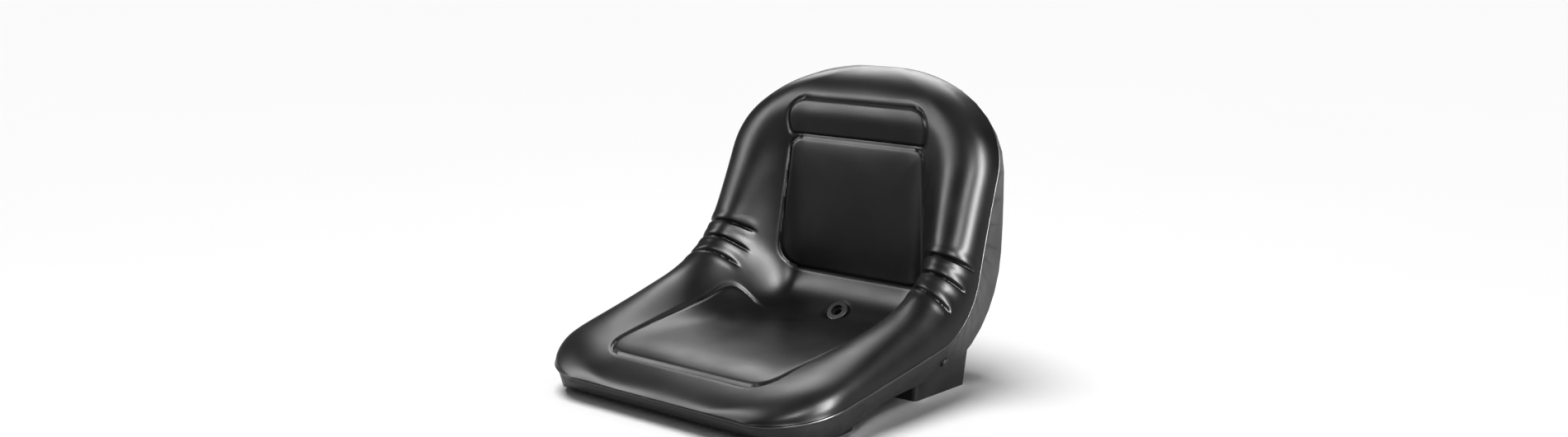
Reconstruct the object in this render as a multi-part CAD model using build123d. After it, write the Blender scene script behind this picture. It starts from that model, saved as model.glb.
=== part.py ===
from build123d import *
import os
from math import asin, atan2, cos, hypot, pi, radians, sin, sqrt, tan

# Garden tractor seat: a moulded plastic pan that carries a one-piece bucket cushion.
# Millimetres. +Z is up, the seat's front faces -Y, and the origin is the centre of the
# main bolt pattern on the plane that the pan's plinth stands on.

# Side-view rails, each a seat line, a bend and a back line: front point, slope of the seat
# line, y where the bend starts, bend radius and angle of the back line.
FLOOR_FRONT_Y = -192.0
FLOOR_FRONT_Z = 4.2
FLOOR_SLOPE = 4.5
FLOOR_BEND_Y = 92.0
FLOOR_RADIUS = 148.0
FLOOR_BACK_ANGLE = 86.0
FLOOR_TOP_Z = 365.0
RIM_FRONT_Y = -204.0
RIM_FRONT_Z = 34.0
RIM_SLOPE = 9.8
RIM_BEND_Y = 49.4
RIM_RADIUS = 105.0
RIM_BACK_ANGLE = 70.5
CREST_FRONT_Y = -180.0
CREST_FRONT_Z = 64.0
CREST_SLOPE = 16.2
CREST_BEND_Y = 0.8
CREST_RADIUS = 160.0
CREST_BACK_ANGLE = 68.5
DISH_FRONT_Y = -182.0
DISH_FRONT_Z = 71.0
DISH_SLOPE = -0.4
DISH_BEND_Y = 98.0
DISH_RADIUS = 60.0
DISH_BACK_ANGLE = 89.5

# Pan outline: how far the rim stands ahead of and above the floor, widths and corners.
FRONT_RUN = 26.0
TOP_RUN = 22.0
RIM_WIDTH = 442.0
RIM_TOP_WIDTH = 416.0
FRONT_CORNER_ACROSS = 80.0
FRONT_CORNER_ALONG = 84.0
TOP_CORNER_ACROSS = 188.0
TOP_CORNER_ALONG = 120.0
FLOOR_WIDTH_FRONT = 424.0
FLOOR_WIDTH_SEAT = 372.0
FLOOR_WIDTH_BACK = 372.0
FLOOR_WIDTH_TOP = 356.0
FLOOR_CORNER_ACROSS = 74.0
BACK_SAG = 12.0
LIP = 6.0
PAN_WALL = 4.0

# Plinth under the pan floor: a rear block, a narrower waist and a flared front block.
PLINTH_WIDTH = 360.0
PLINTH_REAR_Y = 160.0
PLINTH_FRONT_Y = -176.0
PLINTH_FRONT_WIDTH = 410.0
PLINTH_FLARE_WIDTH = 384.0
PLINTH_CORNER_SHARE = 0.81
PLINTH_EDGE = 6.0
PLINTH_DRAFT = 6.0
PLINTH_FLOOR = 10.5
PLINTH_RISE = 80.0
WAIST_WIDTH = 260.0
WAIST_REAR_Y = 53.5
WAIST_FRONT_Y = -83.5

# Drain channel in the plinth's underside: wide and deep at the rear, fading forwards.
CHANNEL_REAR_WIDTH = 246.0
CHANNEL_WIDTH = 134.0
CHANNEL_NECK_Y = 78.0
CHANNEL_FRONT_Y = -150.0
CHANNEL_DEPTH = 12.0

# Pockets in the underside and the notched hole for a seat switch.
SWITCH_Y = 14.5
SWITCH_POCKET_X = 123.0
SWITCH_POCKET_Y = 119.0
SWITCH_POCKET_DEPTH = 10.0
SWITCH_HOLE_R = 35.0
SWITCH_NOTCH_R = 41.0
SWITCH_NOTCH_ARC = 60.0
SWITCH_NOTCH_TURN = 76.0
SWITCH_NOTCHES = 3
FRONT_POCKET_Y = -108.5
FRONT_POCKET_X = 118.0
FRONT_POCKET_LENGTH = 76.0
FRONT_POCKET_DEPTH = 4.5
STUD_PAD_X = 28.0
STUD_PAD_Y = 43.0
STUD_PAD_HEIGHT = 2.0
POCKET_CORNER = 22.0
STUD_PAD_CORNER = 5.0

# Threaded inserts, flush with the plinth's underside, in pairs across the seat.
INSERT_R = 5.3
INSERT_BORE_R = 3.4
INSERT_LENGTH = 8.0
INSERT_FIT = 0.05
OUTER_SPACING = 286.0
WIDE_SPACING = 208.0
NARROW_SPACING = 190.5
MIDDLE_SPACING = 200.0
OUTER_ROWS = (146.0, 75.5, -125.5, -146.0)
WIDE_ROWS = (86.5, 34.5, -39.5, -91.5)
NARROW_ROWS = (68.5, -19.5, -57.5, -132.5)
MIDDLE_ROWS = (-112.5,)

# Push clips that hold the cushion in the pan: two in the front floor, two in the side walls.
CLIP_HEAD_R = 6.5
CLIP_HEAD = 2.6
CLIP_SHANK_R = 3.0
CLIP_BARB_R = 4.3
CLIP_BARB = 4.0
CLIP_BARBS = 2
CLIP_SHANK = 8.0
FRONT_CLIP_X = 182.0
FRONT_CLIP_Y = -172.0
SIDE_CLIP_Y = 92.0
SIDE_CLIP_SHARE = 0.4
CLIP_SEAT = 0.5

# Cushion: vinyl-skinned foam, dished in the middle with a rolled bolster round it.
CREST_INSET = 38.0
DISH_WIDTH = 190.0
DISH_BELOW_CREST = 5.0
NOSE_ALONG = 58.0
TOP_ROLL_ALONG = 62.0
PROUD = 4.0
SWELL = 5.0
TROUGH_GAP = 0.6
SEAT_GAP = 0.9

# Lines pressed into the cushion: a panel in the back with a cross line, a panel in the seat,
# and pleats over the bolsters where they bend. Pleats are given by both ends' y and z.
LINE_WIDTH = 4.0
LINE_DEPTH = 3.0
BACK_PANEL_FOOT_Z = 115.0
BACK_PANEL_FOOT_WIDTH = 244.0
BACK_PANEL_FOOT_CORNER = 24.0
BACK_PANEL_CROSS_Z = 297.0
BACK_PANEL_CROSS_WIDTH = 222.0
BACK_PANEL_TOP_Z = 350.0
BACK_PANEL_TOP_WIDTH = 244.0
BACK_PANEL_TOP_CORNER = 34.0
BACK_PANEL_FRONT_Y = 100.0
BACK_PANEL_REAR_Y = 190.0
SEAT_PANEL_FRONT_Y = -176.0
SEAT_PANEL_FRONT_WIDTH = 270.0
SEAT_PANEL_REAR_Y = 94.0
SEAT_PANEL_REAR_WIDTH = 286.0
SEAT_PANEL_CORNER = 32.0
SEAT_PANEL_OPENING = 150.0
SEAT_PANEL_LOW_Z = 45.0
SEAT_PANEL_HIGH_Z = 130.0
PLEAT_INNER_X = 158.0
PLEAT_OUTER_X = 192.0
PLEAT_INNER = ((127.5, 158.0), (111.5, 134.0), (89.0, 116.0))
PLEAT_OUTER = ((98.0, 175.0), (79.0, 157.0), (53.0, 142.0))
PLEAT_WIDTH = 3.0
PLEAT_DEPTH = 4.0
PLEAT_SWEEP_R = 110.0

# Drain bush from the lowest place of the cushion's dish down through the plinth.
DRAIN_TOP_Y = 123.0
DRAIN_FOOT_Y = 144.5
DRAIN_FOOT_Z = 7.0
DRAIN_BORE_R = 6.0
DRAIN_TUBE_R = 10.0
DRAIN_HEAD_R = 15.5
DRAIN_HEAD = 8.0
DRAIN_HEAD_LEAN = 42.0
DRAIN_HEAD_PROUD = 2.5
DRAIN_HEAD_ROUND = 1.5
DRAIN_FLARE = 2.5
DRAIN_RIM_R = 17.0
DRAIN_RIM_WALL = 2.5
DRAIN_RIM_Z = 4.0

CLEAR = 0.3
CUT = 3.0
STEP = 0.2


class Rail:
    """A side-view line: straight seat, round bend, straight back."""

    def __init__(self, front_y, front_z, slope, bend_y, radius, back_angle):
        self.slope = radians(slope)
        self.back = radians(back_angle)
        self.radius = radius
        self.front = (front_y, front_z)
        self.bend_y = bend_y
        self.seat_run = (bend_y - front_y) / cos(self.slope)
        self.bend_run = radius * (self.back - self.slope)
        self.centre_y = bend_y - radius * sin(self.slope)
        self.centre_z = front_z + self.seat_run * sin(self.slope) + radius * cos(self.slope)
        self.back_y = self.centre_y + radius * sin(self.back)
        self.back_z = self.centre_z - radius * cos(self.back)

    def point(self, s):
        """Point (y, z) at the distance s along the rail from its front point."""
        if s <= self.seat_run:
            return self.front[0] + s * cos(self.slope), self.front[1] + s * sin(self.slope)
        if s <= self.seat_run + self.bend_run:
            turn = self.slope + (s - self.seat_run) / self.radius
            return self.centre_y + self.radius * sin(turn), self.centre_z - self.radius * cos(turn)
        rise = s - self.seat_run - self.bend_run
        return self.back_y + rise * cos(self.back), self.back_z + rise * sin(self.back)

    def station(self, y):
        """Distance along the rail of a place on its seat line or in its bend."""
        if y <= self.bend_y:
            return (y - self.front[0]) / cos(self.slope)
        return self.seat_run + self.radius * (asin((y - self.centre_y) / self.radius) - self.slope)

    def inside(self, y, z):
        """Distance of a point from the rail, positive on the sitter's side."""
        seat = (z - self.front[1]) * cos(self.slope) - (y - self.front[0]) * sin(self.slope)
        back = (z - self.back_z) * cos(self.back) - (y - self.back_y) * sin(self.back)
        past_seat = (y - self.centre_y) * cos(self.slope) + (z - self.centre_z) * sin(self.slope)
        past_bend = (y - self.centre_y) * cos(self.back) + (z - self.centre_z) * sin(self.back)
        if past_seat > 0 > past_bend:
            return self.radius - hypot(y - self.centre_y, z - self.centre_z)
        return min(seat, back)


FLOOR = Rail(FLOOR_FRONT_Y, FLOOR_FRONT_Z, FLOOR_SLOPE, FLOOR_BEND_Y, FLOOR_RADIUS, FLOOR_BACK_ANGLE)
RIM = Rail(RIM_FRONT_Y, RIM_FRONT_Z, RIM_SLOPE, RIM_BEND_Y, RIM_RADIUS, RIM_BACK_ANGLE)
CREST = Rail(CREST_FRONT_Y, CREST_FRONT_Z, CREST_SLOPE, CREST_BEND_Y, CREST_RADIUS, CREST_BACK_ANGLE)
DISH = Rail(DISH_FRONT_Y, DISH_FRONT_Z, DISH_SLOPE, DISH_BEND_Y, DISH_RADIUS, DISH_BACK_ANGLE)

# Places along the floor rail, measured from its front point.
S_BEND = FLOOR.seat_run
S_BACK = S_BEND + FLOOR.bend_run
S_TOP = S_BACK + (FLOOR_TOP_Z - FLOOR.back_z) / sin(FLOOR.back)
S_FRONT = -FRONT_RUN
S_END = S_TOP + TOP_RUN
FAN_START = S_BEND * 0.6
FAN_END = S_BACK + (S_TOP - S_BACK) * 0.6
LEDGE = 2.5 * PAN_WALL


def ease(start, end, share):
    """A smooth change from start to end as share goes from 0 to 1."""
    share = min(max(share, 0.0), 1.0)
    return start + (end - start) * (1.0 - cos(pi * share)) / 2.0


def span(s, first, last):
    """Where s lies between first and last, as a share."""
    return (s - first) / (last - first)


def round_off(share):
    """Quarter-ellipse fall: 1 at the end of an outline, 0 once the corner is passed."""
    share = min(max(share, 0.0), 1.0)
    return 1.0 - sqrt(1.0 - (1.0 - share) ** 2)


def lean(s):
    """Angle by which the section through s leans back; the sections fan round the bend."""
    return ease(FLOOR.slope, FLOOR.back, span(s, FAN_START, FAN_END))


def at(s, x, h):
    """The point x across and h up the section through s."""
    y, z = FLOOR.point(s)
    return Vector(x, y - h * sin(lean(s)), z + h * cos(lean(s)))


def height(rail, s):
    """How far up the section through s it meets a rail."""
    low, high = 0.0, 2.0 * FLOOR_RADIUS
    for _ in range(40):
        middle = (low + high) / 2
        point = at(s, 0.0, middle)
        if rail.inside(point.Y, point.Z) < 0:
            low = middle
        else:
            high = middle
    return low


def end_loss(s, inset, front_across, top_across):
    """How much narrower an outline is at s because its corners are rounded."""
    front = round_off((s - S_FRONT - inset) / (FRONT_CORNER_ALONG - inset))
    top = round_off((S_END - inset - s) / (TOP_CORNER_ALONG - inset))
    return (front_across - inset) * front + (top_across - inset) * top


def rim_half(s, inset):
    """Half-width of the rim outline."""
    full = ease(RIM_WIDTH, RIM_TOP_WIDTH, span(s, S_BEND / 2, S_END)) / 2
    return full - inset - end_loss(s, inset, FRONT_CORNER_ACROSS, TOP_CORNER_ACROSS)


def floor_half(s, inset):
    """Half-width of the floor outline."""
    seat = ease(FLOOR_WIDTH_FRONT, FLOOR_WIDTH_SEAT, span(s, S_BEND / 8, S_BEND * 0.7))
    back = ease(seat, FLOOR_WIDTH_BACK, span(s, S_BEND, S_BACK))
    full = ease(back, FLOOR_WIDTH_TOP, span(s, S_BACK, S_END)) / 2
    top_across = TOP_CORNER_ACROSS - (RIM_TOP_WIDTH - FLOOR_WIDTH_TOP) / 2
    return full - inset - end_loss(s, inset, FLOOR_CORNER_ACROSS, top_across)


def floor_rise(s, inset):
    """Height of the floor above its rail: it turns up to the rim at both ends."""
    front = 1.0 - min((s - S_FRONT - inset) / FRONT_RUN, 1.0)
    top = 1.0 - min((S_END - inset - s) / TOP_RUN, 1.0)
    return inset + (height(RIM, s) - LIP - inset) * (front ** 2 + top ** 2)


def back_sag(s):
    """How far the middle of the floor bows outwards."""
    return ease(0.0, BACK_SAG, span(s, S_BEND, S_BACK))


def between(first, last, count):
    """Even steps from first, left out, to last."""
    return [first + (last - first) * step / count for step in range(1, count + 1)]


def stations(inset):
    """Places along the floor rail where sections are drawn: all but the two ends are shared."""
    front_turns = (22, 33, 44, 55, 67, 78, 90)
    top_turns = (90, 78, 67, 56, 45, 34, 22)
    front_places = [S_FRONT + FRONT_CORNER_ALONG * (1 - cos(radians(turn))) for turn in front_turns]
    top_places = [S_END - TOP_CORNER_ALONG * (1 - cos(radians(turn))) for turn in top_turns]
    seat_places = between(front_places[-1], S_BEND, 5)
    bend_places = between(S_BEND, S_BACK, 8)
    back_places = between(S_BACK, top_places[0], 3)[:-1]
    end_step = 0.01 * FRONT_CORNER_ALONG
    places = front_places + seat_places + bend_places + back_places + top_places
    return [S_FRONT + inset + end_step] + places + [S_END - inset - end_step]


def outline(s, runs):
    """Closed wire in the section through s, along runs of (x, h) control points."""
    edges = []
    for run in runs:
        points = [at(s, x, h) for x, h in run]
        edges.append(Edge.make_bezier(*points) if len(points) > 2 else Edge.make_line(*points))
    return Wire(edges)


def mirrored(run):
    """The same run of points on the other side, walked the other way."""
    return [(-x, h) for x, h in reversed(run)]


def tray(inset, lid):
    """The pan's trough as a full solid, up to lid above the rim."""
    wires = []
    for s in stations(inset):
        half, low = floor_half(s, inset), floor_rise(s, inset)
        rim, depth = rim_half(s, inset), height(RIM, s)
        floor = [(-half, low), (0, low - 2 * back_sag(s)), (half, low)]
        wall = [(half, low), (rim, depth - LIP)]
        lip = [(rim, depth - LIP), (rim, depth + lid)]
        top = [(rim, depth + lid), (-rim, depth + lid)]
        wires.append(outline(s, [floor, wall, lip, top, mirrored(lip), mirrored(wall)]))
    return Solid.make_loft(wires, ruled=True)


def cushion_foot(s, base, rim):
    """Underside of a cushion section, from the floor's corner outwards to the edge that lies on the rim."""
    inset = PAN_WALL + TROUGH_GAP
    half, inside = floor_half(s, inset), rim_half(s, inset)
    if s <= S_FRONT + LEDGE or s >= S_END - LEDGE:
        return [(half - 2 * STEP, base - 3 * STEP), (inside - STEP, base - 2 * STEP), (inside, base - STEP), (rim, base)]
    return [(half, floor_rise(s, inset)), (inside, height(RIM, s) - LIP), (inside, base - STEP), (rim, base)]


def cushion(drop):
    """The cushion as a full solid that fills the pan's trough, its top lowered by drop; its rolled edge lies on the rim."""
    wires = []
    for s in stations(-PROUD):
        base = height(RIM, s) + SEAT_GAP
        rim = rim_half(s, -PROUD)
        nose = 1.0 - round_off((s - S_FRONT + PROUD) / NOSE_ALONG)
        roll = 1.0 - round_off((S_END + PROUD - s) / TOP_ROLL_ALONG)
        crest_full = height(CREST, s) - drop
        dish_full = min(height(DISH, s) - drop, crest_full - DISH_BELOW_CREST)
        crest = base + (crest_full - base) * nose * roll
        dish = base + (dish_full - base) * nose * roll
        crest_x = rim - CREST_INSET
        dish_x = DISH_WIDTH / RIM_WIDTH * rim
        slope = (crest_x - dish_x) * 0.4
        under = cushion_foot(s, base, rim)
        half, low = under[0]
        sag = 0.0 if s <= S_FRONT + LEDGE or s >= S_END - LEDGE else back_sag(s)
        floor = [(-half, low), (0, low - 2 * sag), (half, low)]
        bulge = [(rim, base), (rim + SWELL, base + (crest - base) * 0.6),
                 (rim - CREST_INSET * 0.3, crest), (crest_x, crest)]
        inner = [(crest_x, crest), (crest_x - slope, crest), (dish_x + slope, dish), (dish_x, dish)]
        middle = [(dish_x, dish), (-dish_x, dish)]
        right = [list(pair) for pair in zip(under, under[1:])] + [bulge, inner]
        wires.append(outline(s, [floor] + right + [middle] + [mirrored(run) for run in reversed(right)]))
    return Solid.make_loft(wires, ruled=True)


def edge_line(plan):
    """A line's width along the edge of a flat plan."""
    return offset(plan, LINE_WIDTH / 2) - offset(plan, -LINE_WIDTH / 2)


def back_lines():
    """The back panel's edge and cross line, as a block through the cushion's face."""
    foot, cross, top = [width / 2 for width in (BACK_PANEL_FOOT_WIDTH, BACK_PANEL_CROSS_WIDTH, BACK_PANEL_TOP_WIDTH)]
    right = [(foot, BACK_PANEL_FOOT_Z), (cross, BACK_PANEL_CROSS_Z), (top, BACK_PANEL_TOP_Z)]
    left = [(-x, z) for x, z in reversed(right)]
    plan = make_face(Polyline(*right, *left, close=True))
    plan = fillet(plan.vertices().group_by(Axis.Y)[0], BACK_PANEL_FOOT_CORNER)
    plan = fillet(plan.vertices().group_by(Axis.Y)[-1], BACK_PANEL_TOP_CORNER)
    cross_line = Pos(0, BACK_PANEL_CROSS_Z) * Rectangle(2 * cross, LINE_WIDTH)
    face = Plane.XZ.offset(-BACK_PANEL_REAR_Y)
    return extrude(face * (edge_line(plan) + cross_line), BACK_PANEL_REAR_Y - BACK_PANEL_FRONT_Y)


def seat_lines():
    """The seat panel's edge, open in the middle of the rear, as a block through the cushion's face."""
    front, rear = SEAT_PANEL_FRONT_WIDTH / 2, SEAT_PANEL_REAR_WIDTH / 2
    corners = [(-front, SEAT_PANEL_FRONT_Y), (front, SEAT_PANEL_FRONT_Y), (rear, SEAT_PANEL_REAR_Y), (-rear, SEAT_PANEL_REAR_Y)]
    plan = make_face(Polyline(*corners, close=True))
    plan = fillet(plan.vertices(), SEAT_PANEL_CORNER)
    opening = Pos(0, SEAT_PANEL_REAR_Y) * Rectangle(SEAT_PANEL_OPENING, 4 * LINE_WIDTH)
    return extrude(Pos(0, 0, SEAT_PANEL_LOW_Z) * (edge_line(plan) - opening), SEAT_PANEL_HIGH_Z - SEAT_PANEL_LOW_Z)


def pleats():
    """Discs that cut the pleats: each dips into the bolster and fades at both ends."""
    discs = []
    for (inner_y, inner_z), (outer_y, outer_z) in zip(PLEAT_INNER, PLEAT_OUTER):
        for side in (-1, 1):
            inner = Vector(side * PLEAT_INNER_X, inner_y, inner_z)
            outer = Vector(side * PLEAT_OUTER_X, outer_y, outer_z)
            along = (outer - inner).normalized()
            middle = (inner + outer) * 0.5
            outwards = Vector(0, CREST.centre_y - middle.Y, CREST.centre_z - middle.Z)
            across = along.cross(outwards).normalized()
            outwards = across.cross(along)
            centre = middle + outwards * (PLEAT_SWEEP_R - PLEAT_DEPTH)
            disc = Plane(centre, x_dir=along, z_dir=across)
            discs.append(disc * Cylinder(PLEAT_SWEEP_R, PLEAT_WIDTH))
    return discs


def plinth_corner():
    """Radius of the plinth's front corners, which take up a share of the flared side."""
    run = WAIST_FRONT_Y - PLINTH_FRONT_Y
    flare = (PLINTH_FRONT_WIDTH - PLINTH_FLARE_WIDTH) / 2
    return PLINTH_CORNER_SHARE * hypot(run, flare) * tan(atan2(run, flare) / 2)


def plinth(inset):
    """The plinth as a full block with drafted walls, set in by inset."""
    rear_length = PLINTH_REAR_Y - WAIST_REAR_Y - 2 * inset
    rear = Pos(0, (PLINTH_REAR_Y + WAIST_REAR_Y) / 2) * RectangleRounded(
        PLINTH_WIDTH - 2 * inset, rear_length, PLINTH_EDGE)
    waist_length = PLINTH_REAR_Y - PLINTH_FRONT_Y - 2 * plinth_corner()
    waist = Pos(0, (PLINTH_REAR_Y + PLINTH_FRONT_Y) / 2) * Rectangle(WAIST_WIDTH - 2 * inset, waist_length)
    front_half = PLINTH_FRONT_WIDTH / 2 - inset
    flare_half = PLINTH_FLARE_WIDTH / 2 - inset
    front_y, flare_y = PLINTH_FRONT_Y + inset, WAIST_FRONT_Y - inset
    corners = [(-front_half, front_y), (front_half, front_y), (flare_half, flare_y), (-flare_half, flare_y)]
    front = make_face(Polyline(*corners, close=True))
    front = fillet(front.vertices().group_by(Axis.Y)[0], plinth_corner() - inset)
    front = fillet(front.vertices().group_by(Axis.Y)[-1], PLINTH_EDGE)
    blocks = [extrude(plan, PLINTH_RISE, taper=-PLINTH_DRAFT) for plan in (rear, waist, front)]
    return blocks[0] + blocks[1] + blocks[2]


def under_floor(lift, low):
    """The space between the height low and the pan's floor raised by lift, wide enough for the plinth."""
    turn = radians(FLOOR_BACK_ANGLE) * 0.75
    reach = FLOOR_RADIUS - lift
    start = (FLOOR_FRONT_Y - lift * sin(FLOOR.slope), FLOOR_FRONT_Z + lift * cos(FLOOR.slope))
    bend, middle, end = [(FLOOR.centre_y + reach * sin(a), FLOOR.centre_z - reach * cos(a))
                         for a in (FLOOR.slope, (FLOOR.slope + turn) / 2, turn)]
    profile = [Line(start, bend), ThreePointArc(bend, middle, end), Line(end, (end[0], low)),
               Line((end[0], low), (start[0], low)), Line((start[0], low), start)]
    return extrude(Plane.YZ * make_face(profile), RIM_WIDTH / 2, both=True)


def channel(grow):
    """The drain channel's space, grown by a wall thickness upwards and sideways."""
    rear_y = PLINTH_REAR_Y + 2 * PLINTH_EDGE
    side = [(rear_y, -CUT), (rear_y, CHANNEL_DEPTH + grow), (CHANNEL_FRONT_Y, grow), (CHANNEL_FRONT_Y, -CUT)]
    wedge = extrude(Plane.YZ * make_face(Polyline(*side, close=True)), CHANNEL_REAR_WIDTH, both=True)
    half, neck = CHANNEL_REAR_WIDTH / 2 + grow, CHANNEL_WIDTH / 2 + grow
    right = [(half, rear_y), (half, PLINTH_REAR_Y), (neck, CHANNEL_NECK_Y), (neck, CHANNEL_FRONT_Y)]
    left = [(-x, y) for x, y in reversed(right)]
    plan = make_face(Polyline(*right, *left, close=True))
    return wedge & extrude(Pos(0, 0, -CUT) * plan, PLINTH_RISE)


def pocket(width, length, y, corner, low, high):
    """A block with rounded corners in plan, between two heights."""
    return extrude(Pos(0, y, low) * RectangleRounded(width, length, corner), high - low)


def switch_hole(low, high):
    """Round hole with wider notches for a switch that turns to lock."""
    plan = Circle(SWITCH_HOLE_R)
    spread = radians(SWITCH_NOTCH_ARC / 2)
    reach = 2 * SWITCH_NOTCH_R
    wedge = [(0, 0), (reach * cos(spread), -reach * sin(spread)), (reach * cos(spread), reach * sin(spread))]
    for number in range(SWITCH_NOTCHES):
        turn = SWITCH_NOTCH_TURN + number * 360 / SWITCH_NOTCHES
        plan += Circle(SWITCH_NOTCH_R) & (Rot(0, 0, turn) * make_face(Polyline(*wedge, close=True)))
    return extrude(Pos(0, SWITCH_Y, low) * plan, high - low)


def insert_places():
    """Places of all threaded inserts on the plinth's underside."""
    groups = ((OUTER_SPACING, OUTER_ROWS), (WIDE_SPACING, WIDE_ROWS),
              (NARROW_SPACING, NARROW_ROWS), (MIDDLE_SPACING, MIDDLE_ROWS))
    return [Pos(side * spacing / 2, y) for spacing, rows in groups for y in rows for side in (-1, 1)]


def post(radius, low, high):
    """A round post about Z between two heights."""
    return Pos(0, 0, (low + high) / 2) * Cylinder(radius, high - low)


def clip_places():
    """Planes on the pan's outside, facing inwards along each push clip's axis."""
    planes = []
    for side in (-1, 1):
        s = FLOOR.station(FRONT_CLIP_Y)
        foot = at(s, side * FRONT_CLIP_X, -CLIP_SEAT)
        planes.append(Plane(foot, x_dir=(1, 0, 0), z_dir=at(s, 0, 1) - at(s, 0, 0)))
        s = FLOOR.station(SIDE_CLIP_Y)
        run = rim_half(s, 0) - floor_half(s, 0)
        rise = height(RIM, s) - LIP - floor_rise(s, 0)
        x = floor_half(s, 0) + run * SIDE_CLIP_SHARE
        h = floor_rise(s, 0) + rise * SIDE_CLIP_SHARE
        inwards = at(s, -side * rise, run) - at(s, 0, 0)
        foot = at(s, side * x, h) - inwards.normalized() * CLIP_SEAT
        planes.append(Plane(foot, x_dir=(0, 1, 0), z_dir=inwards))
    return planes


def push_clip():
    """A clip with a flat head below its plane and barbs on the shank above it."""
    points = [(0, -CLIP_HEAD), (CLIP_HEAD_R * 0.8, -CLIP_HEAD), (CLIP_HEAD_R, -CLIP_HEAD / 2),
              (CLIP_HEAD_R, 0), (CLIP_SHANK_R, 0), (CLIP_SHANK_R, CLIP_SHANK)]
    for number in range(CLIP_BARBS):
        foot = CLIP_SHANK + number * CLIP_BARB
        points += [(CLIP_BARB_R, foot), (CLIP_SHANK_R, foot + CLIP_BARB)]
    points += [(0, CLIP_SHANK + CLIP_BARBS * CLIP_BARB)]
    return revolve(Plane.XZ * make_face(Polyline(*points, close=True)), Axis.Z)


DRAIN_TOP = Vector(0, *DISH.point(DISH.station(DRAIN_TOP_Y)))
DRAIN_FOOT = Vector(0, DRAIN_FOOT_Y, DRAIN_FOOT_Z)
DRAIN_AXIS = Plane(DRAIN_FOOT, x_dir=(1, 0, 0), z_dir=DRAIN_TOP - DRAIN_FOOT)
DRAIN_RUN = (DRAIN_TOP - DRAIN_FOOT).length
DRAIN_FACE = Plane(DRAIN_TOP, x_dir=(1, 0, 0),
                   z_dir=(0, -sin(radians(DRAIN_HEAD_LEAN)), cos(radians(DRAIN_HEAD_LEAN))))


def drain_space(reach):
    """The space that the drain bush takes out of the cushion and the pan."""
    tube = DRAIN_AXIS * post(DRAIN_TUBE_R + CLEAR, -reach, DRAIN_RUN)
    head = DRAIN_FACE * post(DRAIN_HEAD_R + CLEAR, -DRAIN_HEAD - CLEAR, DRAIN_HEAD_R + DRAIN_HEAD)
    return tube + head


def drain_bush():
    """Drain bush: a leaning tube under a rounded head that faces the sitter."""
    head = fillet(post(DRAIN_HEAD_R, -DRAIN_HEAD, DRAIN_HEAD_PROUD).edges().sort_by(Axis.Z)[-1], DRAIN_HEAD_ROUND)
    tube = DRAIN_AXIS * post(DRAIN_TUBE_R, 0, DRAIN_RUN - DRAIN_HEAD)
    bore = DRAIN_AXIS * post(DRAIN_BORE_R, -CUT, DRAIN_RUN)
    mouth = DRAIN_FACE * post(DRAIN_BORE_R + DRAIN_FLARE, -DRAIN_FLARE, DRAIN_HEAD_R)
    return tube + DRAIN_FACE * head - bore - mouth


def drain_rim():
    """A low U-shaped wall under the plinth round the drain's foot, open to the rear."""
    length = PLINTH_REAR_Y - DRAIN_FOOT_Y
    inner_r = DRAIN_RIM_R - DRAIN_RIM_WALL
    bow = Circle(DRAIN_RIM_R) + Pos(0, length / 2) * Rectangle(2 * DRAIN_RIM_R, length)
    hollow = Circle(inner_r) + Pos(0, length) * Rectangle(2 * inner_r, 2 * length)
    plan = Pos(0, DRAIN_FOOT_Y, DRAIN_RIM_Z) * (bow - hollow)
    return extrude(plan, CHANNEL_DEPTH + PAN_WALL / 4 - DRAIN_RIM_Z)


inner_tray = tray(PAN_WALL, CUT)
cavity = plinth(PAN_WALL) & under_floor(PAN_WALL + CUT, PLINTH_FLOOR)
cavity -= channel(PAN_WALL)
switch_top = SWITCH_POCKET_DEPTH + PAN_WALL
cavity -= pocket(SWITCH_POCKET_X + 2 * PAN_WALL, SWITCH_POCKET_Y + 2 * PAN_WALL, SWITCH_Y,
                 POCKET_CORNER + PAN_WALL, 0, switch_top)

pan = tray(0.0, 0.0) + (plinth(0.0) & under_floor(PAN_WALL / 2, 0.0))
pan -= inner_tray + cavity
pan -= channel(0.0)
pan += drain_rim()
pan -= pocket(SWITCH_POCKET_X, SWITCH_POCKET_Y, SWITCH_Y, POCKET_CORNER, -CUT, SWITCH_POCKET_DEPTH)
pan -= pocket(FRONT_POCKET_X, FRONT_POCKET_LENGTH, FRONT_POCKET_Y, POCKET_CORNER, -CUT, FRONT_POCKET_DEPTH)
pan += pocket(STUD_PAD_X, STUD_PAD_Y, FRONT_POCKET_Y, STUD_PAD_CORNER,
              FRONT_POCKET_DEPTH - STUD_PAD_HEIGHT, FRONT_POCKET_DEPTH + CUT)
pan -= switch_hole(0, switch_top + CUT)
pan -= drain_space(CUT)
pan -= [place * post(INSERT_R + INSERT_FIT, -CUT, INSERT_LENGTH + CLEAR) for place in insert_places()]
pan -= [plane * post(CLIP_SHANK_R + CLEAR, -CUT, CLIP_SHANK) for plane in clip_places()]

insert = post(INSERT_R, 0, INSERT_LENGTH) - post(INSERT_BORE_R, -CUT, INSERT_LENGTH + CUT)
threaded_inserts = Compound([place * insert for place in insert_places()])
cushion_clips = Compound([plane * push_clip() for plane in clip_places()])

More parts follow.
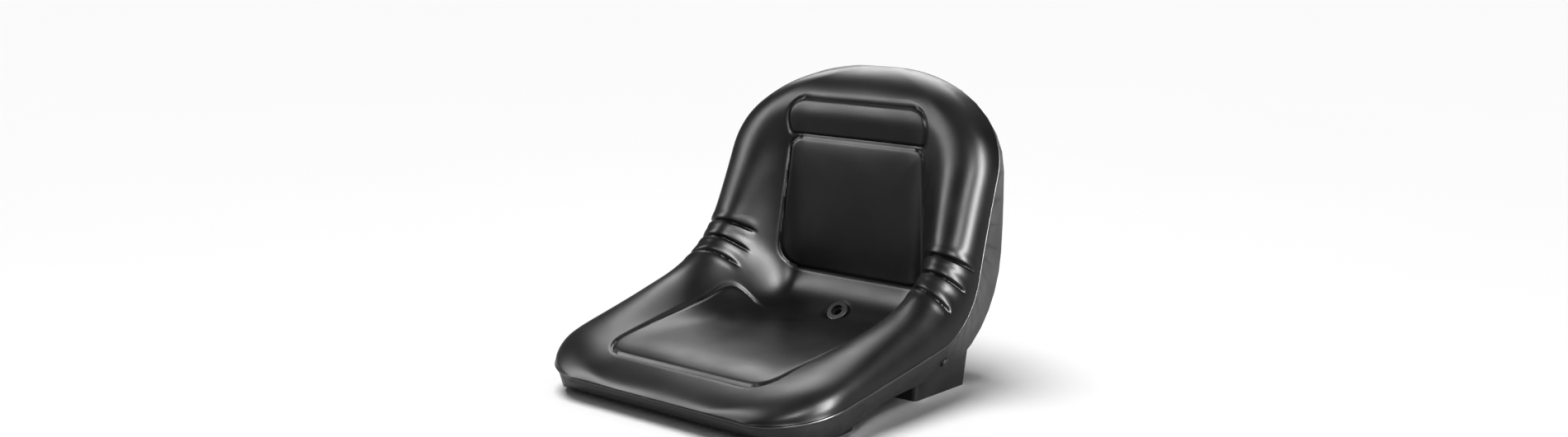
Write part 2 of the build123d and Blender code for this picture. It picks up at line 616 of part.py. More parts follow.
plinth_fill = plinth(PAN_WALL + TROUGH_GAP) & under_floor(2 * PAN_WALL, PLINTH_FLOOR + TROUGH_GAP)
plinth_fill -= channel(PAN_WALL + TROUGH_GAP)
switch_room = 2 * (PAN_WALL + TROUGH_GAP)
plinth_fill -= pocket(SWITCH_POCKET_X + switch_room, SWITCH_POCKET_Y + switch_room, SWITCH_Y,
                      POCKET_CORNER + PAN_WALL + TROUGH_GAP, 0, switch_top + TROUGH_GAP)
clip_room = CLIP_SHANK + (CLIP_BARBS + 1) * CLIP_BARB
seat_cushion = cushion(0.0) + plinth_fill - drain_space(0)
seat_cushion -= (back_lines() + seat_lines()) - cushion(LINE_DEPTH)
seat_cushion -= pleats()
seat_cushion -= [plane * post(CLIP_BARB_R + CLEAR, 0, clip_room) for plane in clip_places()]

nodes = {
    "seat_pan": pan,
    "seat_cushion": seat_cushion,
    "drain_bush": drain_bush(),
    "threaded_inserts": threaded_inserts,
    "cushion_clips": cushion_clips,
}
os.makedirs("parts", exist_ok=True)
for name, shape in nodes.items():
    export_step(shape, f"parts/{name}.step")
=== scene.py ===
import logging
import math
from dataclasses import dataclass, field
from enum import Enum
from typing import Any, Dict, List, Mapping, Optional, Sequence, Tuple, Union

import bpy
import numpy as np
from mathutils import Matrix, Vector


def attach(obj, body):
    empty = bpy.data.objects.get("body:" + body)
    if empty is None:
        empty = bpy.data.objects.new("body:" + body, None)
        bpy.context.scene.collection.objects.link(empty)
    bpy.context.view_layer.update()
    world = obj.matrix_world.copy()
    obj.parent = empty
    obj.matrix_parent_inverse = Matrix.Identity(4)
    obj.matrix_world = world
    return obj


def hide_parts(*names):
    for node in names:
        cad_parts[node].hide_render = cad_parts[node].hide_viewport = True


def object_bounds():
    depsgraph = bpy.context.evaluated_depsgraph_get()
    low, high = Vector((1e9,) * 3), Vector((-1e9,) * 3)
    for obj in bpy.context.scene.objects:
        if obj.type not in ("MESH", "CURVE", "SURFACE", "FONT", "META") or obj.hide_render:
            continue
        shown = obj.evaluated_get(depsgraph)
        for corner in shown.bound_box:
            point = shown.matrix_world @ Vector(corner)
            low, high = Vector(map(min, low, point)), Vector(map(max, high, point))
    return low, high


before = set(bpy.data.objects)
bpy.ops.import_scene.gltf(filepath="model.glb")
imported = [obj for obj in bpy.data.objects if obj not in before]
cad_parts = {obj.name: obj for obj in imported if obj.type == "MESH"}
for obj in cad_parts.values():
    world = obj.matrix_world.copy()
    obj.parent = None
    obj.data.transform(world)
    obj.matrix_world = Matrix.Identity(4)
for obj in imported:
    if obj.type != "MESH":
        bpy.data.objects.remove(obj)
CAD_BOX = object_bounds()

LOG = logging.getLogger("tractor_seat")
MM = 0.001
BODY = "root"

Array = np.ndarray
Socket = bpy.types.NodeSocket
Colour = Tuple[float, float, float, float]


def linear(hex_colour: str) -> Colour:
    """Turns an sRGB hex colour into linear light.

    Args:
        hex_colour: Six hex digits, with or without a leading hash.

    Returns:
        Linear red, green, blue and an alpha of 1.
    """
    digits = hex_colour.lstrip("#")
    values = [int(digits[i:i + 2], 16) / 255 for i in (0, 2, 4)]
    out = [v / 12.92 if v <= 0.04045 else ((v + 0.055) / 1.055) ** 2.4 for v in values]
    return out[0], out[1], out[2], 1.0


def add_node(
    tree: bpy.types.NodeTree,
    kind: str,
    inputs: Optional[Mapping[Union[str, int], Any]] = None,
    **settings: Any,
) -> bpy.types.Node:
    """Adds a node, sets it up and links what is given as a socket.

    Args:
        tree: The node tree that gets the node.
        kind: Blender's name of the node type.
        inputs: Values or output sockets by the input's name or number.
        **settings: Properties of the node itself.

    Returns:
        The new node.
    """
    node = tree.nodes.new(kind)
    for name, value in settings.items():
        setattr(node, name, value)
    for key, value in (inputs or {}).items():
        if isinstance(value, Socket):
            tree.links.new(value, node.inputs[key])
        else:
            node.inputs[key].default_value = value
    return node


def new_material(name: str) -> Tuple[bpy.types.Material, bpy.types.NodeTree, bpy.types.Node]:
    """Makes an empty material that has only its output.

    Args:
        name: Name of the material.

    Returns:
        The material, its tree and its output node.
    """
    material = bpy.data.materials.new(name)
    material.use_nodes = True
    tree = material.node_tree
    tree.nodes.clear()
    return material, tree, tree.nodes.new("ShaderNodeOutputMaterial")


def per_metre(size_mm: float) -> float:
    """Texture scale for features of a real size, as object coordinates are metres."""
    return 1000.0 / size_mm


def smooth_share(value: Array, low: float, high: float) -> Array:
    """Smooth step from 0 at low to 1 at high.

    Args:
        value: Numbers to map.
        low: Where the step starts.
        high: Where the step ends.

    Returns:
        Shares from 0 to 1.
    """
    share = np.clip((value - low) / (high - low), 0.0, 1.0)
    return share * share * (3.0 - 2.0 * share)


@dataclass(frozen=True)
class MouldedVinyl:
    """PVC vinyl skin, vacuum-formed over foam: semi-gloss, with a fine leather grain pressed in.

    The grain breaks highlights into a soft broad sheen, and the pressed lines and pleat folds are darkened in the
    colour as painted shade.
    """

    name: str = "moulded_pvc_vinyl"
    colour: str = "#0e0e0f"
    worn: str = "#161617"
    # Dark colour mixed into the pressed lines and pleat folds: painted shade in the creases.
    line: str = "#040404"
    grain_mm: float = 1.5
    cloud_mm: float = 70.0
    roughness: Tuple[float, float] = (0.31, 0.41)
    ior: float = 1.53

    def make(self) -> bpy.types.Material:
        """Builds the material.

        Returns:
            Black semi-gloss vinyl.
        """
        material, tree, output = new_material(self.name)
        place = add_node(tree, "ShaderNodeTexCoord").outputs["Object"]
        cloud = add_node(tree, "ShaderNodeTexNoise", {
            "Vector": place, "Scale": per_metre(self.cloud_mm), "Detail": 3.0, "Roughness": 0.55})
        grain = add_node(tree, "ShaderNodeTexVoronoi", {
            "Vector": place, "Scale": per_metre(self.grain_mm), "Randomness": 1.0}, feature="SMOOTH_F1")
        pores = add_node(tree, "ShaderNodeTexNoise", {
            "Vector": place, "Scale": per_metre(self.grain_mm * 0.6), "Detail": 2.0})
        # line_depth marks the pressed lines and pleat folds; the mix below darkens them towards the line colour as
        # painted shade.
        line = add_node(tree, "ShaderNodeAttribute", attribute_name="line_depth")
        tone = add_node(tree, "ShaderNodeMix", {
            "Factor": cloud.outputs["Fac"], "A": linear(self.colour), "B": linear(self.worn)}, data_type="RGBA")
        for socket_name, value in (("A", self.colour), ("B", self.worn)):
            [s for s in tone.inputs if s.name == socket_name and s.type == "RGBA"][0].default_value = linear(value)
        tone_out = [s for s in tone.outputs if s.type == "RGBA"][0]
        crease_shaded = add_node(tree, "ShaderNodeMix", {"Factor": line.outputs["Fac"]}, data_type="RGBA")
        crease_shaded_in = [s for s in crease_shaded.inputs if s.type == "RGBA"]
        tree.links.new(tone_out, crease_shaded_in[0])
        crease_shaded_in[1].default_value = linear(self.line)
        gloss = add_node(tree, "ShaderNodeMapRange", {
            "Value": cloud.outputs["Fac"], "From Min": 0.3, "From Max": 0.7,
            "To Min": self.roughness[0], "To Max": self.roughness[1]})
        heights = add_node(tree, "ShaderNodeMath", {
            0: grain.outputs["Distance"], 1: pores.outputs["Fac"]}, operation="ADD")
        bump = add_node(tree, "ShaderNodeBump", {
            "Strength": 0.16, "Distance": 0.25 * MM, "Height": heights.outputs["Value"]})
        shader = add_node(tree, "ShaderNodeBsdfPrincipled", {
            "Base Color": [s for s in crease_shaded.outputs if s.type == "RGBA"][0],
            "Roughness": gloss.outputs["Result"], "Normal": bump.outputs["Normal"],
            "IOR": self.ior, "Specular IOR Level": 0.12})
        tree.links.new(shader.outputs["BSDF"], output.inputs["Surface"])
        return material


@dataclass(frozen=True)
class MouldedPlastic:
    """Injection-moulded plastic with a spark-eroded fine texture: satin, with soft sink marks.

    The texture gives a grey bloom at low angles, and handling polishes it in clouds.
    """

    name: str
    colour: str
    lighter: str
    texture_mm: float = 1.2
    cloud_mm: float = 45.0
    roughness: Tuple[float, float] = (0.38, 0.52)
    bump: float = 0.22
    ior: float = 1.49
    specular: float = 0.2

    def make(self) -> bpy.types.Material:
        """Builds the material.

        Returns:
            Satin moulded plastic.
        """
        material, tree, output = new_material(self.name)
        place = add_node(tree, "ShaderNodeTexCoord").outputs["Object"]
        cloud = add_node(tree, "ShaderNodeTexNoise", {
            "Vector": place, "Scale": per_metre(self.cloud_mm), "Detail": 4.0})
        texture = add_node(tree, "ShaderNodeTexNoise", {
            "Vector": place, "Scale": per_metre(self.texture_mm), "Detail": 3.0, "Roughness": 0.6})
        tone = add_node(tree, "ShaderNodeValToRGB", {"Fac": cloud.outputs["Fac"]})
        tone.color_ramp.elements[0].position = 0.3
        tone.color_ramp.elements[0].color = linear(self.colour)
        tone.color_ramp.elements[1].position = 0.75
        tone.color_ramp.elements[1].color = linear(self.lighter)
        gloss = add_node(tree, "ShaderNodeMapRange", {
            "Value": cloud.outputs["Fac"], "From Min": 0.3, "From Max": 0.7,
            "To Min": self.roughness[0], "To Max": self.roughness[1]})
        bump = add_node(tree, "ShaderNodeBump", {
            "Strength": self.bump, "Distance": 0.2 * MM, "Height": texture.outputs["Fac"]})
        shader = add_node(tree, "ShaderNodeBsdfPrincipled", {
            "Base Color": tone.outputs["Color"], "Roughness": gloss.outputs["Result"],
            "Normal": bump.outputs["Normal"], "IOR": self.ior, "Specular IOR Level": self.specular})
        tree.links.new(shader.outputs["BSDF"], output.inputs["Surface"])
        return material


@dataclass(frozen=True)
class TurnedSteel:
    """Zinc-plated steel, turned on a lathe: bright, with fine rings and a faint yellow stain."""

    name: str = "turned_zinc_steel"
    colour: str = "#d6d4cc"
    stain: str = "#a9a294"
    ring_mm: float = 0.8
    stain_mm: float = 6.0

    def make(self) -> bpy.types.Material:
        """Builds the material.

        Returns:
            Bright plated steel.
        """
        material, tree, output = new_material(self.name)
        place = add_node(tree, "ShaderNodeTexCoord").outputs["Object"]
        stain = add_node(tree, "ShaderNodeTexNoise", {
            "Vector": place, "Scale": per_metre(self.stain_mm), "Detail": 4.0})
        rings = add_node(tree, "ShaderNodeTexNoise", {
            "Vector": place, "Scale": per_metre(self.ring_mm), "Detail": 2.0})
        tone = add_node(tree, "ShaderNodeValToRGB", {"Fac": stain.outputs["Fac"]})
        tone.color_ramp.elements[0].position = 0.3
        tone.color_ramp.elements[0].color = linear(self.stain)
        tone.color_ramp.elements[1].position = 0.6
        tone.color_ramp.elements[1].color = linear(self.colour)
        gloss = add_node(tree, "ShaderNodeMapRange", {
            "Value": stain.outputs["Fac"], "To Min": 0.42, "To Max": 0.22})
        bump = add_node(tree, "ShaderNodeBump", {
            "Strength": 0.15, "Distance": 0.1 * MM, "Height": rings.outputs["Fac"]})
        shader = add_node(tree, "ShaderNodeBsdfPrincipled", {
            "Base Color": tone.outputs["Color"], "Roughness": gloss.outputs["Result"],
            "Normal": bump.outputs["Normal"], "Metallic": 1.0})
        tree.links.new(shader.outputs["BSDF"], output.inputs["Surface"])
        return material


@dataclass(frozen=True)
class PolyurethaneFoam:
    """Open-cell polyurethane foam, cast in a mould: cream, dry and full of small cells."""

    name: str = "cast_polyurethane_foam"
    colour: str = "#e8d9b8"
    shade: str = "#bfa77c"
    cell_mm: float = 2.0
    streak_mm: float = 9.0

    def make(self) -> bpy.types.Material:
        """Builds the material.

        Returns:
            Cream foam.
        """
        material, tree, output = new_material(self.name)
        place = add_node(tree, "ShaderNodeTexCoord").outputs["Object"]
        cells = add_node(tree, "ShaderNodeTexVoronoi", {"Vector": place, "Scale": per_metre(self.cell_mm)})
        streak = add_node(tree, "ShaderNodeTexNoise", {
            "Vector": place, "Scale": per_metre(self.streak_mm), "Detail": 5.0})
        tone = add_node(tree, "ShaderNodeValToRGB", {"Fac": streak.outputs["Fac"]})
        tone.color_ramp.elements[0].position = 0.35
        tone.color_ramp.elements[0].color = linear(self.shade)
        tone.color_ramp.elements[1].position = 0.6
        tone.color_ramp.elements[1].color = linear(self.colour)
        bump = add_node(tree, "ShaderNodeBump", {
            "Strength": 0.6, "Distance": 0.6 * MM, "Height": cells.outputs["Distance"]})
        shader = add_node(tree, "ShaderNodeBsdfPrincipled", {
            "Base Color": tone.outputs["Color"], "Roughness": 0.9, "Normal": bump.outputs["Normal"]})
        tree.links.new(shader.outputs["BSDF"], output.inputs["Surface"])
        return material


@dataclass(frozen=True)
class PaintedFloor:
    """Matt white paint on a smooth studio floor: bright and even, with no gloss."""

    name: str = "matt_white_paint"
    colour: str = "#f4f4f4"
    patch_mm: float = 900.0

    def make(self) -> bpy.types.Material:
        """Builds the material.

        Returns:
            Matt white paint.
        """
        material, tree, output = new_material(self.name)
        place = add_node(tree, "ShaderNodeTexCoord").outputs["Object"]
        patch = add_node(tree, "ShaderNodeTexNoise", {"Vector": place, "Scale": per_metre(self.patch_mm)})
        gloss = add_node(tree, "ShaderNodeMapRange", {
            "Value": patch.outputs["Fac"], "To Min": 0.75, "To Max": 0.95})
        shader = add_node(tree, "ShaderNodeBsdfPrincipled", {
            "Base Color": linear(self.colour), "Roughness": gloss.outputs["Result"], "Specular IOR Level": 0.1})
        tree.links.new(shader.outputs["BSDF"], output.inputs["Surface"])
        return material


@dataclass(frozen=True)
class Rail:
    """A side-view line in millimetres: straight seat, round bend, straight back."""

    front_y: float
    front_z: float
    slope_deg: float
    bend_y: float
    radius: float
    back_deg: float

    @property
    def slope(self) -> float:
        """Slope of the seat line in radians."""
        return math.radians(self.slope_deg)

    @property
    def back(self) -> float:
        """Angle of the back line in radians."""
        return math.radians(self.back_deg)

    @property
    def seat_run(self) -> float:
        """Length of the seat line."""
        return (self.bend_y - self.front_y) / math.cos(self.slope)

    @property
    def bend_run(self) -> float:
        """Length of the bend."""
        return self.radius * (self.back - self.slope)

    @property
    def centre(self) -> Tuple[float, float]:
        """Centre (y, z) of the bend."""
        y = self.bend_y - self.radius * math.sin(self.slope)
        z = self.front_z + self.seat_run * math.sin(self.slope) + self.radius * math.cos(self.slope)
        return y, z

    @property
    def back_start(self) -> Tuple[float, float]:
        """Point (y, z) where the back line starts."""
        y, z = self.centre
        return y + self.radius * math.sin(self.back), z - self.radius * math.cos(self.back)

    def point(self, s: Array) -> Tuple[Array, Array]:
        """Points along the rail.

        Args:
            s: Distances from the front point.

        Returns:
            The y and z of each point.
        """
        centre_y, centre_z = self.centre
        back_y, back_z = self.back_start
        turn = self.slope + (s - self.seat_run) / self.radius
        rise = s - self.seat_run - self.bend_run
        on_seat, in_bend = s <= self.seat_run, rise <= 0
        y = np.where(on_seat, self.front_y + s * math.cos(self.slope), np.where(
            in_bend, centre_y + self.radius * np.sin(turn), back_y + rise * math.cos(self.back)))
        z = np.where(on_seat, self.front_z + s * math.sin(self.slope), np.where(
            in_bend, centre_z - self.radius * np.cos(turn), back_z + rise * math.sin(self.back)))
        return y, z

    def inside(self, y: Array, z: Array) -> Array:
        """Distances from the rail.

        Args:
            y: Places along the seat.
            z: Heights.

        Returns:
            Distances, positive on the sitter's side.
        """
        centre_y, centre_z = self.centre
        back_y, back_z = self.back_start
        seat = (z - self.front_z) * math.cos(self.slope) - (y - self.front_y) * math.sin(self.slope)
        back = (z - back_z) * math.cos(self.back) - (y - back_y) * math.sin(self.back)
        past_seat = (y - centre_y) * math.cos(self.slope) + (z - centre_z) * math.sin(self.slope)
        past_bend = (y - centre_y) * math.cos(self.back) + (z - centre_z) * math.sin(self.back)
        bend = self.radius - np.hypot(y - centre_y, z - centre_z)
        return np.where((past_seat > 0) & (past_bend < 0), bend, np.minimum(seat, back))


@dataclass(frozen=True)
class PressedLine:
    """A closed line pressed into the skin round a panel, seen along one axis.

    Corners are (u, v, rounding) in millimetres, walked once round.
    """

    corners: Tuple[Tuple[float, float, float], ...]
    step: float = 1.5

    def outline(self) -> Array:
        """Points along the rounded outline.

        Returns:
            Points, one row each.
        """
        count = len(self.corners)
        points: List[Array] = []
        for index, (u, v, rounding) in enumerate(self.corners):
            here = np.array((u, v))
            before = np.array(self.corners[index - 1][:2]) - here
            after = np.array(self.corners[(index + 1) % count][:2]) - here
            before, after = before / np.linalg.norm(before), after / np.linalg.norm(after)
            half = math.acos(float(np.clip(before @ after, -1, 1))) / 2
            reach = rounding / math.tan(half)
            start, end = here + before * reach, here + after * reach
            for t in np.linspace(0, 1, 24):
                points.append((1 - t) ** 2 * start + 2 * t * (1 - t) * here + t * t * end)
        loop = np.array(points + points[:1])
        lengths = np.concatenate([[0], np.cumsum(np.linalg.norm(np.diff(loop, axis=0), axis=1))])
        places = np.arange(0, lengths[-1], self.step)
        return np.stack([np.interp(places, lengths, loop[:, k]) for k in (0, 1)], axis=1)

    def measure(self, u: Array, v: Array) -> Tuple[Array, Array]:
        """Signed distances from the line.

        Args:
            u: First coordinates of the points.
            v: Second coordinates of the points.

        Returns:
            Distances, positive inside the panel, and the number of the nearest outline point.
        """
        line = self.outline()
        best = np.full(u.shape, 1e9)
        nearest = np.zeros(u.shape, int)
        inside = np.zeros(u.shape, bool)
        for index, (a, b) in enumerate(zip(line, np.roll(line, -1, axis=0))):
            along = b - a
            t = np.clip(((u - a[0]) * along[0] + (v - a[1]) * along[1]) / (along @ along), 0, 1)
            gap = np.hypot(u - a[0] - t * along[0], v - a[1] - t * along[1])
            closer = gap < best
            best = np.where(closer, gap, best)
            nearest = np.where(closer, index, nearest)
            crosses = (a[1] > v) != (b[1] > v)
            if abs(along[1]) > 1e-9:
                inside ^= crosses & (u < a[0] + (v - a[1]) * along[0] / along[1])
        return np.where(inside, best, -best), nearest


@dataclass
class Cushion:
    """The bucket cushion: one vinyl skin over foam, with pressed panels, pleats and a drain socket."""

    floor: Rail = Rail(-192.0, 4.2, 4.5, 92.0, 148.0, 86.0)
    rim: Rail = Rail(-204.0, 34.0, 9.8, 49.4, 105.0, 70.5)
    crest: Rail = Rail(-180.0, 64.0, 16.2, 0.8, 160.0, 68.5)
    dish: Rail = Rail(-182.0, 71.0, -0.4, 98.0, 60.0, 89.5)
    floor_top_z: float = 365.0
    front_run: float = 26.0
    top_run: float = 22.0
    rim_width: float = 442.0
    rim_top_width: float = 416.0
    front_corner: Tuple[float, float] = (80.0, 84.0)
    top_corner: Tuple[float, float] = (188.0, 120.0)
    crest_inset: float = 38.0
    crest_inset_share: float = 0.5
    dish_width: float = 190.0
    dish_below_crest: float = 5.0
    nose_along: float = 58.0
    top_roll_along: float = 62.0
    proud: float = 4.0
    swell: float = 5.0
    seat_gap: float = 0.9
    under_inset: float = 9.0
    under_lift: float = 8.0
    under_taper: float = 0.8
    rows: int = 340
    end_rows: int = 26
    columns: Tuple[int, int, int] = (30, 56, 96)
    relax_passes: int = 70
    line_width: float = 2.0
    line_depth: float = 3.0
    puff: float = 3.0
    pleat_inner: Tuple[Tuple[float, float], ...] = ((127.5, 158.0), (111.5, 134.0), (89.0, 116.0))
    pleat_outer: Tuple[Tuple[float, float], ...] = ((98.0, 175.0), (79.0, 157.0), (53.0, 142.0))
    pleat_x: Tuple[float, float] = (154.0, 204.0)
    pleat_depth: float = 4.2
    pleat_width: float = 2.0
    drain_centre: Tuple[float, float, float] = (0.0, 123.0, 75.3)
    drain_foot: Tuple[float, float, float] = (0.0, 144.5, 7.0)
    drain_lean_deg: float = 42.0
    drain_radius: float = 16.0
    drain_sink: float = 3.5
    drain_pit_radius: float = 8.0
    drain_pit: float = 42.0
    finish: MouldedVinyl = field(default_factory=MouldedVinyl)

    @property
    def s_front(self) -> float:
        """Where the rim starts along the floor rail."""
        return -self.front_run

    @property
    def s_end(self) -> float:
        """Where the rim ends along the floor rail."""
        s_back = self.floor.seat_run + self.floor.bend_run
        return s_back + (self.floor_top_z - self.floor.back_start[1]) / math.sin(self.floor.back) + self.top_run

    @staticmethod
    def ease(start: float, end: float, share: Array) -> Array:
        """Cosine change from start to end as share goes from 0 to 1."""
        return start + (end - start) * (1 - np.cos(math.pi * np.clip(share, 0, 1))) / 2

    @staticmethod
    def round_off(share: Array) -> Array:
        """Quarter-ellipse fall from 1 to 0 as share goes from 0 to 1."""
        return 1 - np.sqrt(1 - (1 - np.clip(share, 0, 1)) ** 2)

    @staticmethod
    def soft_least(first: Union[float, Array], second: Union[float, Array], blend: float) -> Array:
        """The lesser of two values, rounded over where they cross."""
        gap = np.asarray(first) - np.asarray(second)
        return np.asarray(second) + (gap - np.sqrt(gap * gap + blend * blend)) / 2

    def lean(self, s: Array) -> Array:
        """Angles by which the sections through s lean back."""
        s_back = self.floor.seat_run + self.floor.bend_run
        s_top = self.s_end - self.top_run
        start, end = self.floor.seat_run * 0.6, s_back + (s_top - s_back) * 0.6
        return self.ease(self.floor.slope, self.floor.back, (s - start) / (end - start))

    def place(self, s: Array, x: Array, h: Array) -> Array:
        """Points in space.

        Args:
            s: Distances along the floor rail.
            x: Places across.
            h: Heights up the leaning sections.

        Returns:
            Points, with x, y and z last.
        """
        y, z = self.floor.point(s)
        turn = self.lean(s)
        return np.stack(np.broadcast_arrays(x, y - h * np.sin(turn), z + h * np.cos(turn)), axis=-1)

    def height(self, rail: Rail, s: Array) -> Array:
        """How far up each section meets a rail.

        Args:
            rail: The rail.
            s: Distances along the floor rail.

        Returns:
            Heights.
        """
        low, high = np.zeros_like(s), np.full_like(s, 2 * self.floor.radius)
        for _ in range(40):
            middle = (low + high) / 2
            point = self.place(s, np.zeros_like(s), middle)
            below = rail.inside(point[..., 1], point[..., 2]) < 0
            low, high = np.where(below, middle, low), np.where(below, high, middle)
        return low

    def rim_half(self, s: Array, inset: float) -> Array:
        """Half-widths of the rim outline, set in by inset."""
        start = self.floor.seat_run / 2
        full = self.ease(self.rim_width, self.rim_top_width, (s - start) / (self.s_end - start)) / 2
        front = self.round_off((s - self.s_front - inset) / (self.front_corner[1] - inset))
        top = self.round_off((self.s_end - inset - s) / (self.top_corner[1] - inset))
        return full - inset - (self.front_corner[0] - inset) * front - (self.top_corner[0] - inset) * top

    def stations(self) -> Array:
        """Places along the floor rail, closer together at both ends where the skin rolls over.

        Returns:
            Rising distances.
        """
        first, last = self.s_front - self.proud + 0.02, self.s_end + self.proud - 0.02
        turns = np.linspace(0.05, math.pi / 2, self.end_rows)
        front = first + self.nose_along * (1 - np.cos(turns))
        back = last - self.top_roll_along * (1 - np.cos(turns[::-1]))
        middle = np.linspace(front[-1], back[0], self.rows - 2 * self.end_rows + 2)[1:-1]
        return np.concatenate([[first], front, middle, back, [last]])

    @staticmethod
    def bezier(controls: Sequence[Tuple[Array, Array]], t: Array) -> Tuple[Array, Array]:
        """Cubic curves, one per section.

        Args:
            controls: Four (x, h) control points, each an array over the sections.
            t: Places along the curve.

        Returns:
            The x and h of each point, sections first.
        """
        weights = [(1 - t) ** 3, 3 * t * (1 - t) ** 2, 3 * t * t * (1 - t), t ** 3]
        return tuple(sum(np.outer(c[k], w) for c, w in zip(controls, weights)) for k in (0, 1))

    def sections(self, s: Array) -> Tuple[Array, Array]:
        """The top of the cushion, section by section, from right edge to left edge.

        Args:
            s: Distances along the floor rail.

        Returns:
            The x and h of each point, sections first.
        """
        base = self.height(self.rim, s) + self.seat_gap
        rim = self.rim_half(s, -self.proud)
        nose = 1 - self.round_off((s - self.s_front + self.proud) / self.nose_along)
        roll = 1 - self.round_off((self.s_end + self.proud - s) / self.top_roll_along)
        crest_full = self.height(self.crest, s)
        dish_full = self.soft_least(self.height(self.dish, s), crest_full - self.dish_below_crest, 9.0)
        above_dish = smooth_share(s, self.s_end - 86.0, self.s_end - 34.0)
        dish_full = dish_full + (crest_full - dish_full) * above_dish
        crest = base + (crest_full - base) * nose * roll
        dish = base + (dish_full - base) * nose * roll
        inset = self.soft_least(self.crest_inset, self.crest_inset_share * rim, 6.0)
        crest_x, dish_x = rim - inset, self.dish_width / self.rim_width * rim
        slope = (crest_x - dish_x) * 0.4
        bulge = [(rim, base), (rim + self.swell, base + (crest - base) * 0.6),
                 (rim - inset * 0.3, crest), (crest_x, crest)]
        inner = [(crest_x, crest), (crest_x - slope, crest), (dish_x + slope, dish), (dish_x, dish)]
        across, along_slope, along_middle = self.columns
        parts = [self.bezier(bulge, np.linspace(0, 1, across + 1)[:-1]),
                 self.bezier(inner, np.linspace(0, 1, along_slope + 1)[:-1])]
        share = np.linspace(1, 0, along_middle // 2 + 1)
        parts.append((np.outer(dish_x, share), np.outer(dish, np.ones_like(share))))
        right_x = np.concatenate([p[0] for p in parts], axis=1)
        right_h = np.concatenate([p[1] for p in parts], axis=1)
        x = np.concatenate([right_x, -right_x[:, -2::-1]], axis=1)
        h = np.concatenate([right_h, right_h[:, -2::-1]], axis=1)
        return x, h

    @staticmethod
    def normals(grid: Array) -> Array:
        """Outward normals of a grid of points.

        Args:
            grid: Points, rows and columns first.

        Returns:
            Unit normals of the same shape.
        """
        along, across = np.gradient(grid, axis=0), np.gradient(grid, axis=1)
        normal = np.cross(across, along)
        normal /= np.linalg.norm(normal, axis=-1, keepdims=True) + 1e-12
        if normal[normal.shape[0] // 4, normal.shape[1] // 2, 2] < 0:
            normal = -normal
        return normal

    @staticmethod
    def relax(grid: Array, passes: int) -> Array:
        """Softens the grid along its rows and columns, its edges held.

        Args:
            grid: Points, rows and columns first.
            passes: How often each point moves towards its neighbours' middle.

        Returns:
            The softened grid.
        """
        out = grid.copy()
        for _ in range(passes):
            middle = (out[2:, 1:-1] + out[:-2, 1:-1] + out[1:-1, 2:] + out[1:-1, :-2]) / 4
            out[1:-1, 1:-1] += 0.5 * (middle - out[1:-1, 1:-1])
        return out

    def groove(self, distance: Array) -> Array:
        """Depth of a pressed line by distance from it, as a share."""
        return np.exp(-(distance / self.line_width) ** 2)

    def panels(self, grid: Array) -> Tuple[Array, Array]:
        """Rise of the skin from its pressed panels.

        Args:
            grid: Points of the plain skin.

        Returns:
            The rise in millimetres and the depth of the lines as a share; the share also sets the lines' painted
            shade.
        """
        x, y, z = grid[..., 0], grid[..., 1], grid[..., 2]
        on_back = smooth_share(z, 92.0, 104.0) * smooth_share(y, 96.0, 112.0)
        on_seat = (1 - smooth_share(z, 96.0, 112.0)) * (1 - smooth_share(y, 100.0, 118.0))
        rise, depth = np.zeros_like(x), np.zeros_like(x)
        lower = PressedLine(((-122.0, 115.0, 36.0), (122.0, 115.0, 36.0), (111.0, 296.0, 20.0), (-111.0, 296.0, 20.0)))
        upper = PressedLine(((-112.0, 299.0, 10.0), (112.0, 299.0, 10.0), (121.0, 350.0, 34.0), (-121.0, 350.0, 34.0)))
        for panel, puff in ((lower, 1.0), (upper, 0.8)):
            gap, _ = panel.measure(x, z)
            line = self.groove(gap) * on_back
            rise += on_back * puff * self.puff * (1 - np.exp(-np.maximum(gap, 0) / 14.0))
            depth = np.maximum(depth, line)
        seat = PressedLine(((-135.0, -176.0, 34.0), (135.0, -176.0, 34.0), (140.0, 90.0, 46.0), (-140.0, 90.0, 46.0)))
        gap, nearest = seat.measure(x, y)
        ends = seat.outline()[nearest]
        fade = 1 - smooth_share(ends[..., 1], 70.0, 90.0) * (1 - smooth_share(np.abs(ends[..., 0]), 50.0, 105.0))
        depth = np.maximum(depth, self.groove(gap) * on_seat * fade)
        puffed = on_seat * (1 - smooth_share(y, 0.0, 80.0))
        rise += puffed * self.puff * (1 - np.exp(-np.maximum(gap, 0) / 14.0))
        return rise - self.line_depth * depth, depth

    def pleats(self, grid: Array) -> Tuple[Array, Array]:
        """Rise of the skin where it is gathered over the bends of the bolsters.

        Args:
            grid: Points of the plain skin.

        Returns:
            The rise in millimetres and the depth of the folds as a share; the share also sets the folds' painted
            shade.
        """
        rise, depth = np.zeros(grid.shape[:2]), np.zeros(grid.shape[:2])
        for (inner_y, inner_z), (outer_y, outer_z) in zip(self.pleat_inner, self.pleat_outer):
            for side in (-1, 1):
                a = np.array((side * self.pleat_x[0], inner_y, inner_z))
                b = np.array((side * self.pleat_x[1], outer_y, outer_z))
                along = b - a
                t = np.clip(((grid - a) @ along) / (along @ along), -0.15, 1.35)
                offset = grid - a - t[..., None] * along
                centre = np.array((0.0, *self.crest.centre))
                out = (a + b) / 2 - centre
                out[0] = 0.0
                across = np.cross(along, out)
                across /= np.linalg.norm(across)
                sideways = offset @ across
                near = np.linalg.norm(offset, axis=-1) < 30.0
                fade = smooth_share(t, -0.12, 0.16) * (1 - smooth_share(t, 1.0, 1.3)) * near
                fold = np.exp(-(sideways / self.pleat_width) ** 2) * fade
                roll = np.exp(-((np.abs(sideways) - 8.0) / 5.0) ** 2) * fade
                rise += 0.7 * roll - self.pleat_depth * fold
                depth = np.maximum(depth, fold)
        return rise, depth

